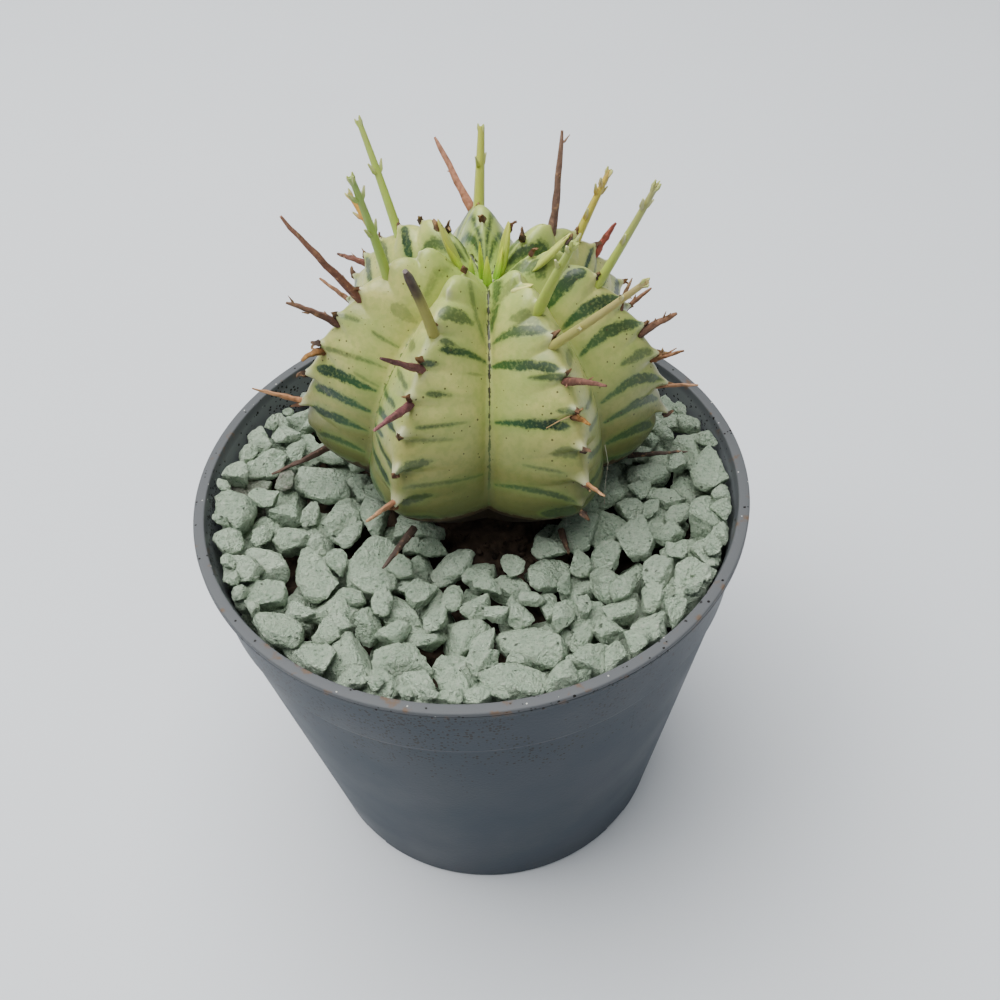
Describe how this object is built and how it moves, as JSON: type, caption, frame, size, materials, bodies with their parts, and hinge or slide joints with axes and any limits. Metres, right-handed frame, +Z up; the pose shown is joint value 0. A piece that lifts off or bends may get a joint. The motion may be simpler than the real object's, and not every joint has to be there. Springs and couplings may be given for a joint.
{
  "type": "potted melon spurge",
  "caption": "Globe-shaped ribbed succulent with cream and green banded skin and old flower stalks, standing in soil topped with pale stone chips in a small round tapered pot.",
  "frame": {"origin": "centre of the pot's underside, on the surface that it stands on", "axes": "+Z up through the pot, -Y towards the front as pictured, +X to the viewer's right"},
  "size_m": [0.085, 0.0853, 0.1177],
  "materials": {
    "pot_plastic": "satin moulded grey plastic with specks of dirt below the rim",
    "soil": "dark crumbly peat soil",
    "stone_chips": "dry pale grey-green broken stone, pitted",
    "plant_skin": "waxy cream-yellow skin with broken dark green bands and fine dots, green fresh stalks and brown dry ones"
  },
  "bodies": {
    "root": {"pot": "pot_plastic", "soil": "soil", "stone_chips": "stone_chips", "plant": "plant_skin"}
  },
  "joints": []
}
